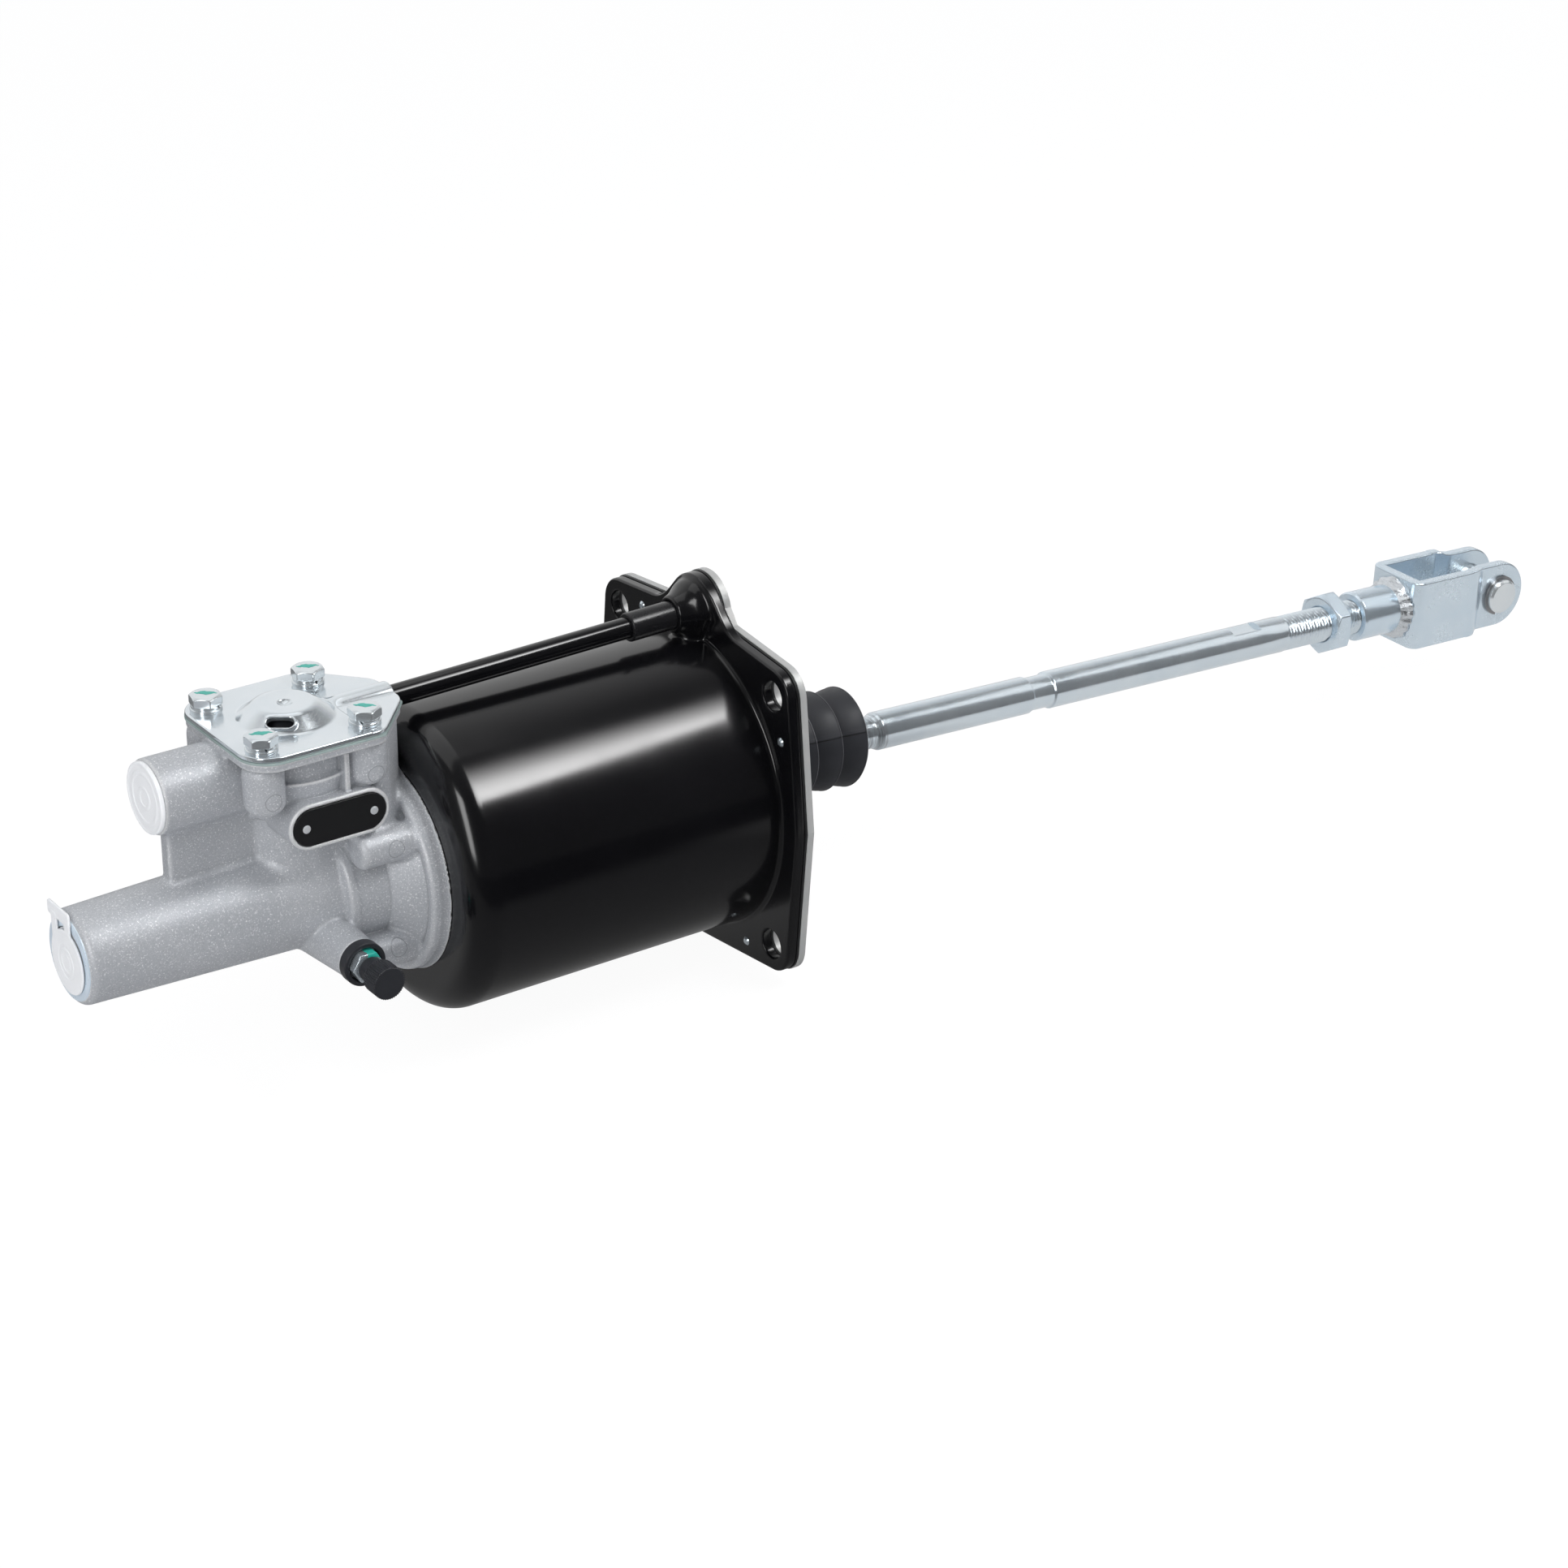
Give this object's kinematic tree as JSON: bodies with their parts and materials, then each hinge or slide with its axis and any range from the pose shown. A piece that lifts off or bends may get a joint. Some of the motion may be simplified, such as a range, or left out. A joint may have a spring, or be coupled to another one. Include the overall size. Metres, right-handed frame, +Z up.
{
  "type": "clutch servo",
  "caption": "Air-hydraulic clutch servo: cast hydraulic barrel with control valve, black pressed pressure cylinder with bolt flange, dust boot and push rod with clevis.",
  "frame": {"origin": "centre of the mounting face, on the piston's axis", "axes": "+X along the push rod towards the clevis, +Z up through the valve cover, -Y towards the bleed screw"},
  "size_m": [0.6398, 0.1254, 0.1389],
  "materials": {
    "cast_aluminium": "satin, blasted casting",
    "bright_zinc": "bright zinc plated",
    "plated_plate": "dull zinc plated",
    "black_paint": "gloss black paint",
    "black_plate": "satin black enamel",
    "black_rubber": "satin moulded rubber",
    "gasket_paper": "matt gasket sheet",
    "white_plastic": "translucent white polyethylene",
    "bush_plastic": "matt acetal",
    "piston_alloy": "turned",
    "valve_brass": "turned",
    "spring_steel": "oiled spring steel"
  },
  "bodies": {
    "housing": {"cast_body": "cast_aluminium", "barrel_insert": "bright_zinc", "valve_cover": "bright_zinc", "cover_gasket": "gasket_paper", "cover_bolts": "bright_zinc", "spring_washers": "bright_zinc", "vent_flap": "black_rubber", "name_plate": "black_plate", "name_plate_rivets": "bright_zinc", "body_seal": "black_rubber", "body_screws": "bright_zinc", "pressure_cylinder": "black_paint", "flange_gasket": "gasket_paper", "end_plate": "plated_plate", "flange_rivets": "bright_zinc", "breather_pipe": "black_paint", "pipe_hose": "black_rubber", "hub_guide": "bush_plastic", "rubber_boot": "black_rubber", "plunger_gland": "piston_alloy", "valve_seat": "valve_brass", "valve_cap": "piston_alloy", "valve_circlip": "spring_steel", "valve_spring": "spring_steel", "return_spring": "spring_steel"},
    "piston": {"air_piston": "piston_alloy", "piston_lip_seal": "black_rubber", "piston_guide_ring": "bush_plastic", "rod_retainer": "spring_steel"},
    "plunger": {"hydraulic_piston": "piston_alloy", "hydraulic_seals": "black_rubber"},
    "rod": {"push_rod": "bright_zinc"},
    "nut": {"lock_nut": "bright_zinc"},
    "clevis": {"clevis_neck": "bright_zinc", "clevis_fork": "bright_zinc", "clevis_weld": "bright_zinc"},
    "pin": {"clevis_pin": "bright_zinc", "pin_clip": "spring_steel"},
    "reaction": {"reaction_piston": "piston_alloy", "reaction_seal": "black_rubber"},
    "poppet": {"valve_poppet": "black_rubber"},
    "bleeder": {"bleed_screw": "bright_zinc"},
    "cap": {"bleed_cap": "black_rubber"},
    "inlet_plug": {"hydraulic_plug": "white_plastic"},
    "supply_plug": {"air_plug": "white_plastic"}
  },
  "joints": [
    {"name": "piston_stroke", "type": "slide", "parent": "housing", "child": "piston", "axis": [1, 0, 0], "range_m": [0, 0.052], "stiffness_N_per_m": 1500, "springref_m": -0.04, "deforming": ["return_spring", "rubber_boot"]},
    {"name": "plunger_stroke", "type": "slide", "parent": "housing", "child": "plunger", "axis": [1, 0, 0], "range_m": [0, 0.052]},
    {"name": "rod_swing", "type": "hinge", "parent": "piston", "child": "rod", "pos_m": [-0.0179, 0, 0], "axis": [0, 1, 0], "range_deg": [-6, 0], "deforming": ["rubber_boot"]},
    {"name": "nut_turn", "type": "hinge", "parent": "rod", "child": "nut", "pos_m": [0.29239, 0, -0.01604], "axis": [0.9987, 0, -0.0516], "continuous": true},
    {"name": "clevis_turn", "type": "hinge", "parent": "rod", "child": "clevis", "pos_m": [0.34661, 0, -0.01885], "axis": [0.9987, 0, -0.0516], "continuous": true},
    {"name": "pin_turn", "type": "hinge", "parent": "clevis", "child": "pin", "pos_m": [0.37577, 0, -0.02036], "axis": [0, 1, 0], "continuous": true},
    {"name": "reaction_lift", "type": "slide", "parent": "housing", "child": "reaction", "axis": [0, 0, 1], "range_m": [0, 0.003]},
    {"name": "valve_lift", "type": "slide", "parent": "housing", "child": "poppet", "axis": [0, 0, 1], "range_m": [0, 0.002], "deforming": ["valve_spring"]},
    {"name": "bleed_turn", "type": "hinge", "parent": "housing", "child": "bleeder", "pos_m": [-0.1626, -0.034, -0.0122], "axis": [0, -1, 0], "range_deg": [0, 360]},
    {"name": "cap_pull", "type": "slide", "parent": "bleeder", "child": "cap", "axis": [0, -1, 0], "range_m": [0, 0.02]},
    {"name": "inlet_plug_pull", "type": "slide", "parent": "housing", "child": "inlet_plug", "axis": [-1, 0, 0], "range_m": [0, 0.015]},
    {"name": "supply_plug_pull", "type": "slide", "parent": "housing", "child": "supply_plug", "axis": [-1, 0, 0], "range_m": [0, 0.02]}
  ],
  "couplings": [
    {"joint": "plunger_stroke", "follows": "piston_stroke", "ratio": 1},
    {"joint": "valve_lift", "follows": "reaction_lift", "ratio": 0.6667}
  ]
}
